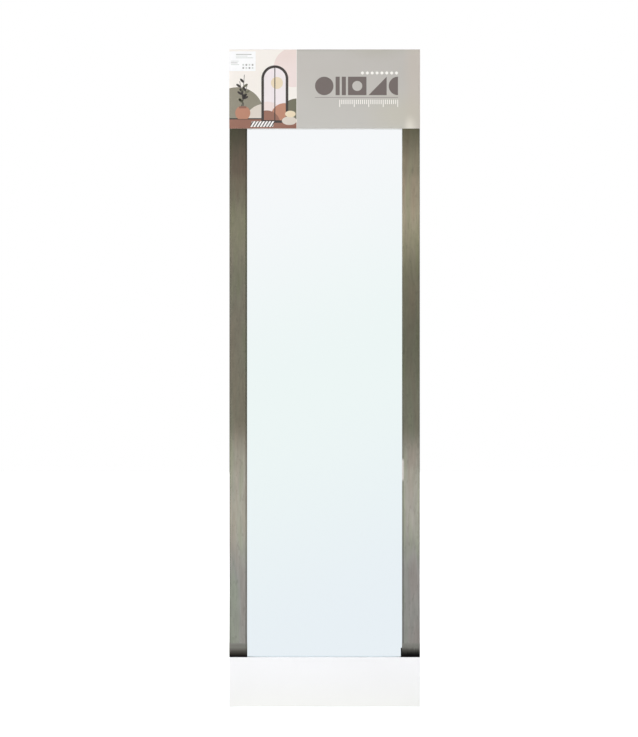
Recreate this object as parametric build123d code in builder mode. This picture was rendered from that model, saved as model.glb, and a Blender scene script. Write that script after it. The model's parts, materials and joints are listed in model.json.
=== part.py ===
from build123d import *
from math import cos, radians, sin, tan
import os

# A tall framed wall mirror in its shop dress, seen from the front along +Y.
# +Z is up, +X is to the right and +Y points to the wall.
# The origin lies on the wall, midway between the two hanging points.
# All sizes are in millimetres.

# Mirror opening and frame moulding
sight_width = 300.0
sight_height = 1200.0
face_width = 34.0
frame_depth = 18.0
lip_depth = 7.0
inner_bevel = 3.0
outer_radius = 2.0
edge_round = 0.3
back_edge_round = 0.5
rebate_width = 7.0
groove_width = 2.5
groove_depth = 3.0
groove_spacing = 9.0

# Pack held in the rebate
glass_thickness = 3.0
glass_arris = 0.4
coating_thickness = 0.15
liner_thickness = 2.0
board_thickness = 2.5
pack_clearance = 1.5
liner_inset = 2.0

# Corner nails, two in each mitre
nail_leg = 4.0
nail_spread = 2.8
nail_thickness = 0.5
nail_height = 10.0
nail_sink = 0.2
nail_edge_margin = 2.0

# Steel points that hold the back board
point_length = 16.0
point_width = 8.0
point_embed = 6.0
point_thickness = 0.6
point_tip = 3.0
point_end_margin = 75.0
stile_point_count = 8
rail_point_count = 2

# Hangers
hang_drop = 280.0
strap_width = 12.0
strap_length = 38.0
strap_thickness = 0.8
strap_end_radius = 5.0
layer_gap = 0.1
slope_angle = 50.0
slope_bend_radius = 2.0
wire_radius = 1.2
wire_clearance = 0.2
ring_inner_width = 15.0
ring_reach = 13.0
ring_corner_radius = 2.2
ring_rest_tilt = 5.0
ring_wire_sides = 10
screw_first = 21.0
screw_pitch = 11.0
screw_radius = 1.5
screw_length = 14.0
screw_head_radius = 3.4
screw_head_height = 2.0
screw_head_rim = 0.8
screw_head_crown = 2.2
screw_hole_clearance = 0.3
recess_length = 3.6
recess_width = 0.9
recess_depth = 1.1

# Rubber bumpers near the foot
bumper_height = 5.0
bumper_radius = 6.0
bumper_top_radius = 4.6
bumper_above_tape = 12.0

# Black binding tape round each stile, above the foot card
tape_thickness = 0.2
tape_width = 48.0
tape_showing = 27.0
tape_back_return = 16.0
tape_glass_clearance = 0.2

# Folded shop cards
card_thickness = 0.6
card_clearance = 0.5
card_side_overhang = 0.2
card_fold_radius = 0.5
header_height = 153.0
foot_height = 95.0
sticker_width = 51.0
sticker_height = 38.0
sticker_thickness = 0.1
sticker_top_margin = 4.0

# Levels worked out from the sizes above
frame_width = sight_width + 2 * face_width
frame_height = sight_height + 2 * face_width
back_y = -bumper_height
front_y = back_y - frame_depth
glass_front_y = front_y + lip_depth
glass_back_y = glass_front_y + glass_thickness
coating_back_y = glass_back_y + coating_thickness
liner_back_y = coating_back_y + liner_thickness
board_back_y = liner_back_y + board_thickness
frame_top_z = hang_drop
frame_bottom_z = frame_top_z - frame_height
middle_z = (frame_top_z + frame_bottom_z) / 2
land_middle = (rebate_width + face_width) / 2
strap_x = sight_width / 2 + land_middle
card_width = frame_width + 2 * card_side_overhang
header_top_z = frame_top_z + card_thickness
foot_bottom_z = frame_bottom_z - card_thickness
foot_card_top_z = foot_bottom_z + foot_height
tape_top_z = foot_card_top_z + tape_showing
bumper_z = tape_top_z + bumper_above_tape

os.makedirs("parts", exist_ok=True)


def finish(builder, name):
    """Label a finished piece and write its file."""
    builder.part.label = name
    export_step(builder.part, f"parts/{name}.step")


# Each frame member has its own plane at the middle of its sight edge:
# local x runs outwards from the glass, local y runs to the wall, and local z runs along the member.
member_planes = {
    "left_stile": Plane(origin=(-sight_width / 2, 0, middle_z), x_dir=(-1, 0, 0), z_dir=(0, 0, -1)),
    "right_stile": Plane(origin=(sight_width / 2, 0, middle_z), x_dir=(1, 0, 0), z_dir=(0, 0, 1)),
    "top_rail": Plane(origin=(0, 0, middle_z + sight_height / 2), x_dir=(0, 0, 1), z_dir=(-1, 0, 0)),
    "bottom_rail": Plane(origin=(0, 0, middle_z - sight_height / 2), x_dir=(0, 0, -1), z_dir=(1, 0, 0)),
}
member_sight_length = {
    "left_stile": sight_height,
    "right_stile": sight_height,
    "top_rail": sight_width,
    "bottom_rail": sight_width,
}
corners = {
    "top_left": (-1, 1),
    "top_right": (1, 1),
    "bottom_left": (-1, -1),
    "bottom_right": (1, -1),
}
sides = {"left": -1, "right": 1}


# Corner nails: a small steel V driven from the back across each mitre, its point to the outer corner
def corner_nails(side_x, side_z):
    """Two V nails on one mitre line, one in each solid land between the grooves."""
    diagonal = Vector(side_x, 0, side_z).normalized()
    wall = nail_thickness * (nail_leg**2 + nail_spread**2) ** 0.5 / nail_spread
    reach = (nail_leg + wall + nail_spread) / 2**0.5
    with BuildPart() as nails:
        for tip in (land_middle + reach / 2, face_width - nail_edge_margin):
            tip_point = (
                side_x * (sight_width / 2 + tip),
                back_y - nail_sink,
                middle_z + side_z * (sight_height / 2 + tip),
            )
            with BuildSketch(Plane(origin=tip_point, x_dir=diagonal, z_dir=(0, -1, 0))):
                Polygon(
                    (0, 0),
                    (-nail_leg, nail_spread),
                    (-nail_leg - wall, nail_spread),
                    (-wall, 0),
                    (-nail_leg - wall, -nail_spread),
                    (-nail_leg, -nail_spread),
                    align=None,
                )
            extrude(amount=nail_height)
    return nails


corner_nail_sets = {name: corner_nails(*signs) for name, signs in corners.items()}


# Retaining points: flat steel diamonds pushed into the rebate wall, lying on the back board
def retaining_points(member, count):
    """One row of evenly spaced points along a member."""
    plane = member_planes[member]
    pitch = (member_sight_length[member] - 2 * point_end_margin) / (count - 1)
    free_end = rebate_width + point_embed - point_length
    buried_end = rebate_width + point_embed
    half = point_width / 2
    level = Plane(
        origin=plane.origin + Vector(0, board_back_y, 0),
        x_dir=plane.x_dir,
        z_dir=(0, 1, 0),
    )
    with BuildPart() as points:
        with BuildSketch(level):
            with GridLocations(pitch, pitch, 1, count):
                Polygon(
                    (free_end, -half / 2),
                    (free_end + point_tip, -half),
                    (buried_end - point_tip, -half),
                    (buried_end, 0),
                    (buried_end - point_tip, half),
                    (free_end + point_tip, half),
                    (free_end, half / 2),
                    align=None,
                )
        extrude(amount=point_thickness)
    return points


point_rows = {
    "left_stile": retaining_points("left_stile", stile_point_count),
    "right_stile": retaining_points("right_stile", stile_point_count),
    "top_rail": retaining_points("top_rail", rail_point_count),
    "bottom_rail": retaining_points("bottom_rail", rail_point_count),
}

# Hanger geometry: a strip folded round the ring's bar, the bar's axis standing off the frame's back
loop_inner = wire_radius + wire_clearance
loop_outer = loop_inner + strap_thickness
loop_middle = (loop_inner + loop_outer) / 2
hinge_y = back_y + loop_outer
hinge_z = -ring_reach
lower_layer_t = strap_thickness / 2
upper_layer_t = 1.5 * strap_thickness + layer_gap
strap_face_y = back_y + 2 * strap_thickness + layer_gap
screw_zs = [hinge_z - screw_first, hinge_z - screw_first - screw_pitch]


# Hanger screws: pan head, cross recess and a straight blunt shank
def hanger_screws(side):
    """The two screws of one hanger."""
    with BuildPart() as screws:
        for screw_z in screw_zs:
            seat = Plane(origin=(side * strap_x, strap_face_y, screw_z), x_dir=(1, 0, 0), z_dir=(0, 1, 0))
            axis_plane = Plane(origin=seat.origin, x_dir=(1, 0, 0), z_dir=(0, 0, 1))
            with BuildSketch(axis_plane):
                with BuildLine():
                    Polyline(
                        (0, -screw_length),
                        (screw_radius, -screw_length),
                        (screw_radius, 0),
                        (screw_head_radius, 0),
                        (screw_head_radius, screw_head_rim),
                        (screw_head_crown, screw_head_height),
                        (0, screw_head_height),
                        close=True,
                    )
                make_face()
            revolve(axis=Axis(seat.origin, (0, 1, 0)))
            with BuildSketch(seat.offset(screw_head_height - recess_depth)):
                Rectangle(recess_length, recess_width)
                Rectangle(recess_width, recess_length)
            extrude(amount=2 * recess_depth, mode=Mode.SUBTRACT)
    return screws


screw_sets = {name: hanger_screws(side) for name, side in sides.items()}


# Frame members: one moulding profile, mitred at both ends
def moulding(member, *driven_in):
    """One mitred length of the frame, cut to the pieces that are driven into it."""
    plane = member_planes[member]
    sight_length = member_sight_length[member]
    half_blank = sight_length / 2 + face_width
    with BuildPart() as bar:
        with BuildSketch(plane.offset(-half_blank)):
            with BuildLine():
                FilletPolyline(
                    (0, glass_front_y),
                    (0, front_y + inner_bevel),
                    (inner_bevel, front_y),
                    (face_width, front_y),
                    (face_width, back_y),
                    (rebate_width, back_y),
                    (rebate_width, glass_front_y),
                    radius=[edge_round, edge_round, outer_radius, back_edge_round, back_edge_round],
                )
                Line((rebate_width, glass_front_y), (0, glass_front_y))
            make_face()
            with Locations((land_middle, back_y)):
                with GridLocations(groove_spacing, groove_spacing, 2, 1):
                    Rectangle(groove_width, 2 * groove_depth, mode=Mode.SUBTRACT)
        extrude(amount=2 * half_blank)
        for end in (-1, 1):
            mitre = Plane(
                origin=plane.from_local_coords((0, 0, end * sight_length / 2)),
                z_dir=plane.x_dir - plane.z_dir * end,
            )
            split(bisect_by=mitre, keep=Keep.TOP)
        for pieces in driven_in:
            add(pieces.part, mode=Mode.SUBTRACT)
    return bar


left_stile = moulding(
    "left_stile",
    corner_nail_sets["top_left"],
    corner_nail_sets["bottom_left"],
    point_rows["left_stile"],
    screw_sets["left"],
)
right_stile = moulding(
    "right_stile",
    corner_nail_sets["top_right"],
    corner_nail_sets["bottom_right"],
    point_rows["right_stile"],
    screw_sets["right"],
)
top_rail = moulding(
    "top_rail",
    corner_nail_sets["top_left"],
    corner_nail_sets["top_right"],
    point_rows["top_rail"],
)
bottom_rail = moulding(
    "bottom_rail",
    corner_nail_sets["bottom_left"],
    corner_nail_sets["bottom_right"],
    point_rows["bottom_rail"],
)


# Mirror pack: glass against the lip, its silver and paint, a foam liner and the back board
def pack_sheet(layer_front_y, thickness, inset):
    """One flat sheet of the pack, set in from the rebate's walls on all four sides."""
    with BuildPart() as layer:
        with BuildSketch(Plane(origin=(0, layer_front_y, middle_z), x_dir=(1, 0, 0), z_dir=(0, -1, 0))):
            Rectangle(
                sight_width + 2 * (rebate_width - inset),
                sight_height + 2 * (rebate_width - inset),
            )
        extrude(amount=-thickness)
    return layer


mirror_glass = pack_sheet(glass_front_y, glass_thickness, pack_clearance)
with mirror_glass:
    arrises = mirror_glass.faces().filter_by(Axis.Y).edges()
    chamfer(arrises, length=glass_arris)

silver_backing = pack_sheet(glass_back_y, coating_thickness, pack_clearance + glass_arris)
foam_liner = pack_sheet(coating_back_y, liner_thickness, pack_clearance + liner_inset)
back_board = pack_sheet(liner_back_y, board_thickness, pack_clearance)


# Hanger straps: one strip folded round the ring's bar, both layers lying on the frame's back
def hanger_strap(side):
    """A folded strap with two screw holes and a rounded lower end."""
    slope = radians(slope_angle)
    loop_side_t = loop_outer + loop_middle * cos(slope)
    bend_side_t = upper_layer_t + slope_bend_radius * (1 - cos(slope))
    slope_length = (loop_side_t - bend_side_t) / sin(slope)
    fold_plane = Plane(origin=(side * strap_x, back_y, hinge_z), x_dir=(0, 1, 0), z_dir=(1, 0, 0))
    with BuildPart() as strap:
        with BuildSketch(fold_plane):
            with BuildLine():
                lower_layer = Line((lower_layer_t, -strap_length), (lower_layer_t, 0))
                loop = JernArc(lower_layer @ 1, lower_layer % 1, loop_middle, -180 - slope_angle)
                slope_run = Line(loop @ 1, loop @ 1 + (loop % 1) * slope_length)
                flattening = JernArc(slope_run @ 1, slope_run % 1, slope_bend_radius, slope_angle)
                Line(flattening @ 1, (upper_layer_t, -strap_length))
            trace(line_width=strap_thickness)
        extrude(amount=strap_width / 2, both=True)
        lower_corners = strap.edges().filter_by(Axis.Y).group_by(Axis.Z)[0]
        fillet(lower_corners, strap_end_radius)
        for screw_z in screw_zs:
            with BuildSketch(Plane(origin=(side * strap_x, back_y, screw_z), z_dir=(0, 1, 0))):
                Circle(screw_radius + screw_hole_clearance)
            extrude(amount=loop_outer, both=True, mode=Mode.SUBTRACT)
    return strap


left_hanger_strap = hanger_strap(-1)
right_hanger_strap = hanger_strap(1)


# Hanger rings: round wire bent to a D, hanging down and leaning a little towards the wall
def hanger_ring(side):
    """A D ring swept round its centre line, modelled in its resting place."""
    bar_half = ring_inner_width / 2 + wire_radius
    far_side = ring_reach + wire_radius
    hanging = Plane(origin=(side * strap_x, hinge_y, hinge_z), x_dir=(1, 0, 0), z_dir=(0, -1, 0))
    ring_plane = hanging.rotated((ring_rest_tilt, 0, 0))
    with BuildPart() as ring:
        with BuildLine(ring_plane) as centre_line:
            straight = Line((0, 0), (bar_half - ring_corner_radius, 0))
            near_corner = JernArc(straight @ 1, straight % 1, ring_corner_radius, -90)
            near_side = Line(near_corner @ 1, (bar_half, bar_half - far_side))
            bow = JernArc(near_side @ 1, near_side % 1, bar_half, -180)
            far_edge = Line(bow @ 1, (-bar_half, -ring_corner_radius))
            far_corner = JernArc(far_edge @ 1, far_edge % 1, ring_corner_radius, -90)
            Line(far_corner @ 1, (0, 0))
        with BuildSketch(Plane(origin=straight @ 0, z_dir=ring_plane.x_dir)):
            RegularPolygon(wire_radius, ring_wire_sides)
        sweep(path=centre_line.wires()[0])
    return ring


left_hanger_ring = hanger_ring(-1)
right_hanger_ring = hanger_ring(1)


# Bumpers: turned rubber feet that keep the lower end off the wall
def bumper(side):
    """A tapered round bumper on the back of one stile."""
    foot = Plane(origin=(side * strap_x, back_y, bumper_z), x_dir=(1, 0, 0), z_dir=(0, 0, 1))
    with BuildPart() as body:
        with BuildSketch(foot):
            with BuildLine():
                Polyline(
                    (0, 0),
                    (bumper_radius, 0),
                    (bumper_top_radius, bumper_height),
                    (0, bumper_height),
                    close=True,
                )
            make_face()
        revolve(axis=Axis(foot.origin, (0, 1, 0)))
    return body


left_bumper = bumper(-1)
right_bumper = bumper(1)


# End tapes: a thin dark binding laid round each stile, from the glass round to the back
def end_tape(member):
    """One strip of tape that follows the moulding, half of it under the foot card."""
    plane = member_planes[member]
    up = plane.z_dir.Z
    half = tape_thickness / 2
    bevel_shift = half * tan(radians(22.5))
    with BuildPart() as tape:
        with BuildSketch(plane.offset(up * (tape_top_z - middle_z))):
            with BuildLine():
                FilletPolyline(
                    (-half, glass_front_y - tape_glass_clearance),
                    (-half, front_y + inner_bevel - bevel_shift),
                    (inner_bevel - bevel_shift, front_y - half),
                    (face_width + half, front_y - half),
                    (face_width + half, back_y + half),
                    (face_width - tape_back_return, back_y + half),
                    radius=[
                        edge_round + half,
                        edge_round + half,
                        outer_radius + half,
                        back_edge_round + half,
                    ],
                )
            trace(line_width=tape_thickness)
        extrude(amount=-up * tape_width)
    return tape


left_end_tape = end_tape("left_stile")
right_end_tape = end_tape("right_stile")


# Shop cards: a deep folded header hooked over the top and a shorter one under the foot
def folded_card(fold_z, panel_height):
    """A card with a front panel, a fold across the frame and an equal back panel."""
    half = card_thickness / 2
    free_z = fold_z - panel_height
    inward = 1 if panel_height > 0 else -1
    with BuildPart() as card:
        with BuildSketch(Plane(origin=(0, 0, 0), x_dir=(0, 1, 0), z_dir=(1, 0, 0))):
            with BuildLine():
                FilletPolyline(
                    (front_y - card_clearance - half, free_z),
                    (front_y - card_clearance - half, fold_z - inward * half),
                    (back_y + card_clearance + half, fold_z - inward * half),
                    (back_y + card_clearance + half, free_z),
                    radius=card_fold_radius,
                )
            trace(line_width=card_thickness)
        extrude(amount=card_width / 2, both=True)
    return card


header_card = folded_card(header_top_z, header_height)
foot_card = folded_card(foot_bottom_z, -foot_height)

card_front_y = front_y - card_clearance - card_thickness
sticker_corner = (-card_width / 2, card_front_y, header_top_z - sticker_top_margin)
with BuildPart() as header_sticker:
    with BuildSketch(Plane(origin=sticker_corner, x_dir=(1, 0, 0), z_dir=(0, -1, 0))):
        Rectangle(sticker_width, sticker_height, align=(Align.MIN, Align.MAX))
    extrude(amount=sticker_thickness)

finish(left_stile, "left_stile")
finish(right_stile, "right_stile")
finish(top_rail, "top_rail")
finish(bottom_rail, "bottom_rail")
finish(mirror_glass, "mirror_glass")
finish(silver_backing, "silver_backing")
finish(foam_liner, "foam_liner")
finish(back_board, "back_board")
for corner, nails in corner_nail_sets.items():
    finish(nails, f"v_nails_{corner}")
finish(point_rows["left_stile"], "left_points")
finish(point_rows["right_stile"], "right_points")
finish(point_rows["top_rail"], "top_points")
finish(point_rows["bottom_rail"], "bottom_points")
finish(left_hanger_strap, "left_hanger_strap")
finish(right_hanger_strap, "right_hanger_strap")
finish(left_hanger_ring, "left_hanger_ring")
finish(right_hanger_ring, "right_hanger_ring")
finish(screw_sets["left"], "left_hanger_screws")
finish(screw_sets["right"], "right_hanger_screws")
finish(left_bumper, "left_bumper")
finish(right_bumper, "right_bumper")
finish(left_end_tape, "left_end_tape")
finish(right_end_tape, "right_end_tape")
finish(header_card, "header_card")
finish(header_sticker, "header_sticker")
finish(foot_card, "foot_card")
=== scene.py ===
import json
import math

import bmesh
import bpy
from bmesh.types import BMEdge, BMVert
from mathutils import Matrix, Vector


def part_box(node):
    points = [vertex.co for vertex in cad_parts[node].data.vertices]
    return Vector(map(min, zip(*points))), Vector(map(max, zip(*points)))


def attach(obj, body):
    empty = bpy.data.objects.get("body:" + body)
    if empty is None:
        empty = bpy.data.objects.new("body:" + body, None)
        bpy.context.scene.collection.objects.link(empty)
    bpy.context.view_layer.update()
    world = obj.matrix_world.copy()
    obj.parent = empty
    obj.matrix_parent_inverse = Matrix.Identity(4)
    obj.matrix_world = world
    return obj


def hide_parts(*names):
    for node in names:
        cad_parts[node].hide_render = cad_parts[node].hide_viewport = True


# A tall wall mirror in its shop dress. Metres, front to -Y, wall at +Y, up is +Z.
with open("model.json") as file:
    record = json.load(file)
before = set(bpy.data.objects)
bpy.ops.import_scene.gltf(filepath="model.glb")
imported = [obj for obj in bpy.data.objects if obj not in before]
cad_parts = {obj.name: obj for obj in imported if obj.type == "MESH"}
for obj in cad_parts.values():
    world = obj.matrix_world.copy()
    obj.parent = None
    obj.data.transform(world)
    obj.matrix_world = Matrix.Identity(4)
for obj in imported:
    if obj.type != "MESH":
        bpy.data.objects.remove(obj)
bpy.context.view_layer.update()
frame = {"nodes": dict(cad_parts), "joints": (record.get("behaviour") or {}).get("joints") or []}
nodes = frame["nodes"]
scene = bpy.context.scene
mm = 0.001
print("frame loaded with", len(nodes), "nodes")


# Small helpers for materials and meshes

def hexColour(text):
    # sRGB hex to linear, which is what the shader sockets take
    parts = [int(text[i:i + 2], 16) / 255 for i in (1, 3, 5)]
    return [p / 12.92 if p <= 0.04045 else ((p + 0.055) / 1.055) ** 2.4 for p in parts] + [1.0]


def feed(node, inputs):
    # each socket is linked or set, and a hex colour is turned to linear
    for key, value in inputs.items():
        if isinstance(value, bpy.types.NodeSocket):
            node.id_data.links.new(value, node.inputs[key])
        else:
            node.inputs[key].default_value = hexColour(value) if isinstance(value, str) else value


def addNode(tree, kind, inputs=None, **settings):
    # one node with its settings and its sockets
    node = tree.nodes.new("ShaderNode" + kind)
    for name, value in settings.items():
        setattr(node, name, value)
    feed(node, inputs or {})
    return node


def newMaterial(name, inputs):
    # a Principled material with these values on its sockets
    material = bpy.data.materials.new(name)
    material.use_nodes = True
    shader = material.node_tree.nodes["Principled BSDF"]
    feed(shader, inputs)
    return material, material.node_tree, shader


def setRamp(ramp, stops, ease="LINEAR"):
    elements = ramp.color_ramp.elements
    ramp.color_ramp.interpolation = ease
    while len(elements) < len(stops):
        elements.new(0.5)
    for element, (place, colour) in zip(elements, stops):
        element.position = place
        element.color = hexColour(colour) if isinstance(colour, str) else colour


def dress(name, material):
    # gives a CAD node its finish
    for slot in nodes[name].material_slots:
        slot.material = material


def only(kind, geom):
    # the vertices or the edges among what an operator gives back
    return [item for item in geom if isinstance(item, kind)]


def rotateVerts(bm, verts, degrees, axis):
    bmesh.ops.rotate(bm, matrix=Matrix.Rotation(math.radians(degrees), 3, axis), verts=verts)


def newPiece(name, bm, materials, body, replaced=()):
    # a finished bmesh becomes an object at the origin that rides on a body
    mesh = bpy.data.meshes.new(name)
    bm.to_mesh(mesh)
    bm.free()
    piece = bpy.data.objects.new(name, mesh)
    scene.collection.objects.link(piece)
    for material in materials:
        mesh.materials.append(material)
    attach(piece, body)
    if replaced:
        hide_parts(*replaced)
    return piece


def addFilm(piece, name, thickness, offset):
    # gives a flat piece its thickness
    film = piece.modifiers.new(name, "SOLIDIFY")
    film.thickness = thickness
    film.offset = offset
    return film


# Camera, where the photograph was taken from: straight in front, far back

view = {
    "distance": 4.0,        # m in front of the header card
    "frameHeight": 1.4235,  # m of the object plane that the picture's height covers
    "aimX": -0.0109,
    "aimZ": -0.3359,
    "sensor": 36,           # mm
    "farthest": 60,         # m
}
cameraData = bpy.data.cameras.new("photoCamera")
cameraData.sensor_fit = "VERTICAL"
cameraData.sensor_height = view["sensor"]
cameraData.lens = view["sensor"] * view["distance"] / view["frameHeight"]
cameraData.clip_end = view["farthest"]
camera = bpy.data.objects.new("photoCamera", cameraData)
camera.location = (view["aimX"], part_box("header_card")[0].y - view["distance"], view["aimZ"])
camera.rotation_euler = (math.radians(90), 0, 0)
scene.collection.objects.link(camera)
scene.camera = camera
print("camera placed")


# White studio: what the camera, gloss and glass see is white, and lamps do the lighting

studio = {
    "ambient": 0.33,
    "ambientColour": "#FBFCFF",
    "floorColour": "#F2F2F2",
    "floorHalf": 9,             # m from its middle to its edge
    "floorDrop": 0.0004,        # m under the foot card
    "floorGlow": (0.46, 1.0),   # near the mirror, where its shadow falls, and far off
    "floorFade": (0.5, 2.6),    # m from the mirror between the two
    "aim": (0, -0.012, -0.354),
    "lamps": [
        # name, place, size in m, power in W
        ("keyLamp", (-2.0, -3.0, 0.35), 1.8, 58),
        ("fillLamp", (2.3, -3.2, -0.45), 2.2, 24),
        ("topLamp", (0.0, -1.2, 2.4), 1.6, 12),
        ("wallLamp", (0.4, 2.6, 1.0), 2.0, 30),
    ],
}
world = bpy.data.worlds.new("whiteStudio")
scene.world = world
world.use_nodes = True
tree = world.node_tree
tree.nodes.clear()
rays = addNode(tree, "LightPath").outputs
seen = addNode(tree, "Math", {0: rays["Is Camera Ray"], 1: rays["Is Glossy Ray"]}, operation="MAXIMUM")
seen = addNode(tree, "Math", {0: seen.outputs[0], 1: rays["Is Transmission Ray"]}, operation="MAXIMUM")
ambient = addNode(tree, "Background", {"Color": studio["ambientColour"], "Strength": studio["ambient"]})
backdrop = addNode(tree, "Background", {"Color": (1, 1, 1, 1), "Strength": 1.0})
mixed = addNode(tree, "MixShader", {0: seen.outputs[0], 1: ambient.outputs[0], 2: backdrop.outputs[0]})
addNode(tree, "OutputWorld", {"Surface": mixed.outputs[0]})

# the lamps light everything but the glass, which would show them as hard white squares
lampShy = bpy.data.collections.new("keptFromLamps")
lampShy.objects.link(nodes["mirror_glass"])
lampShy.collection_objects[0].light_linking.link_state = "EXCLUDE"
for name, place, size, power in studio["lamps"]:
    lampData = bpy.data.lights.new(name, "AREA")
    lampData.shape = "SQUARE"
    lampData.size = size
    lampData.energy = power
    lamp = bpy.data.objects.new(name, lampData)
    lamp.location = place
    lamp.rotation_euler = (Vector(studio["aim"]) - Vector(place)).to_track_quat("-Z", "Y").to_euler()
    lamp.visible_camera = False
    lamp.light_linking.receiver_collection = lampShy
    scene.collection.objects.link(lamp)

# painted floor, matt: it holds the shadow near the mirror and glows to white further off
floorMaterial, tree, shader = newMaterial("paintedFloorWhite", {
    "Roughness": 0.6, "Base Color": studio["floorColour"], "Emission Color": (1, 1, 1, 1)})
rays = addNode(tree, "LightPath").outputs
place = addNode(tree, "TexCoord").outputs["Object"]
flat = addNode(tree, "VectorMath", {0: place, 1: (1, 1, 0)}, operation="MULTIPLY").outputs["Vector"]
away = addNode(tree, "VectorMath", {0: flat}, operation="LENGTH").outputs["Value"]
nearFade, farFade = studio["floorFade"]
nearGlow, farGlow = studio["floorGlow"]
spread = addNode(tree, "MapRange", {"Value": away, "From Min": nearFade, "From Max": farFade,
                                    "To Min": nearGlow, "To Max": farGlow},
                 interpolation_type="SMOOTHSTEP")
glow = addNode(tree, "Math", {0: rays["Is Camera Ray"], 1: spread.outputs[0]}, operation="MULTIPLY")
feed(shader, {"Emission Strength": glow.outputs[0]})
seen = addNode(tree, "Math", {0: rays["Is Glossy Ray"], 1: rays["Is Transmission Ray"]},
               operation="MAXIMUM")
white = addNode(tree, "Emission", {"Color": (1, 1, 1, 1), "Strength": 1.0})
mixed = addNode(tree, "MixShader", {0: seen.outputs[0], 1: shader.outputs[0], 2: white.outputs[0]})
feed(next(node for node in tree.nodes if node.type == "OUTPUT_MATERIAL"), {"Surface": mixed.outputs[0]})

bm = bmesh.new()
bmesh.ops.create_grid(bm, x_segments=1, y_segments=1, size=studio["floorHalf"])
bmesh.ops.translate(bm, vec=(0, 0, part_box("foot_card")[0].z - studio["floorDrop"]), verts=bm.verts)
floorMesh = bpy.data.meshes.new("paleFloor")
bm.to_mesh(floorMesh)
bm.free()
floor = bpy.data.objects.new("paleFloor", floorMesh)
floorMesh.materials.append(floorMaterial)
scene.collection.objects.link(floor)
print("studio lit")


# Frame: foamed polystyrene moulding wrapped in a brushed grey-brown foil

foil = {
    # tone of the foil from the top of the frame down, as a share of its height: on the stiles it holds
    # painted reflections in lighter bands and painted shade below the header card
    "left": [(0.0, "#807A68"), (0.11, "#393625"), (0.18, "#5A5143"), (0.205, "#65604F"),
             (0.27, "#7A7563"), (0.37, "#6D6A5B"), (0.56, "#6E6C5C"), (0.63, "#989486"),
             (0.655, "#A09D90"), (0.715, "#A3A193"), (0.81, "#92928C"), (1.0, "#908F89")],
    "right": [(0.0, "#807A68"), (0.11, "#54523F"), (0.18, "#807A66"), (0.20, "#8E8571"),
              (0.25, "#98907A"), (0.36, "#686452"), (0.44, "#5F5D4D"), (0.57, "#6C6C5C"),
              (0.63, "#979387"), (0.645, "#A09E91"), (0.70, "#A6A298"), (0.80, "#8F8E89"),
              (1.0, "#8A8984")],
    "rail": [(0.0, "#807A68"), (1.0, "#82827C")],
    # marks: mm across, mm along, detail
    "marks": {
        "fleck": (5.5, 38.0, 3.0),
        "hair": (1.6, 30.0, 2.0),       # drawn coarser than the 0.1 mm brushing so that it shows
        "drift": (17.0, 130.0, 1.0),    # slow change between an olive and a rosy cast
        "knot": (4.2, 12.0, 1.0),       # short dark marks
    },
    "markRoughness": 0.55,
    # the noise levels a mark runs between and the foil's tone at each
    "tones": {
        "fleck": (0.28, 0.72, 0.90, 1.10, "LINEAR"),
        "hair": (0.28, 0.72, 0.955, 1.045, "LINEAR"),
        "knot": (0.60, 0.72, 1.0, 0.87, "SMOOTHSTEP"),
    },
    "cast": [(0.34, [0.935, 1.0, 0.896, 1]), (0.5, [1, 1, 1, 1]), (0.66, [1.0, 0.935, 0.935, 1])],
    # painted shade along the outer edge, where the rounded edge turns away from the light: m in from that
    # edge, tone
    "edge": (0.0034, 0.0012),
    "edgeShadeTone": {"left": 0.70, "right": 0.84, "rail": 0.8},
    # painted light and shade on the bevel by the glass, shaded on the left and lit on the right towards
    # the top: m in from the outer edge, tone at the top and foot, and where the two meet
    "bevel": (0.0302, 0.0318),
    "bevelLightAndShade": {"left": (0.80, 0.84), "right": (1.10, 0.60), "rail": (0.95, 0.95)},
    "bevelTurn": (0.45, 0.75),
    # a painted glint on the right lip: height, half length where it fades out and in, m over the lip, tone
    "glint": {"z": -0.532, "ends": (0.024, 0.016), "wide": (0.0045, 0.001), "tone": "#D9D2CC"},
    "roughness": (0.34, 0.50),
    "metallic": 0.15,
    "relief": (0.2, 0.00008),       # strength, and depth of the brushing in m
    # raw foam: tones, pores to a metre, roughness, m from the back and from the side where it starts
    "core": ("#B2ACA0", "#CBC6BA"),
    "pores": 900.0,
    "coreRoughness": 0.85,
    "coreDepth": 0.0033,
    "coreInset": 0.00035,
    "rebate": (-0.0162, 0.0264),    # y behind which, and m in from the outer edge past which, it is raw
}
frameLo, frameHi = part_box("left_stile")[0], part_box("right_stile")[1]
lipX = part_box("right_stile")[0].x


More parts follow.
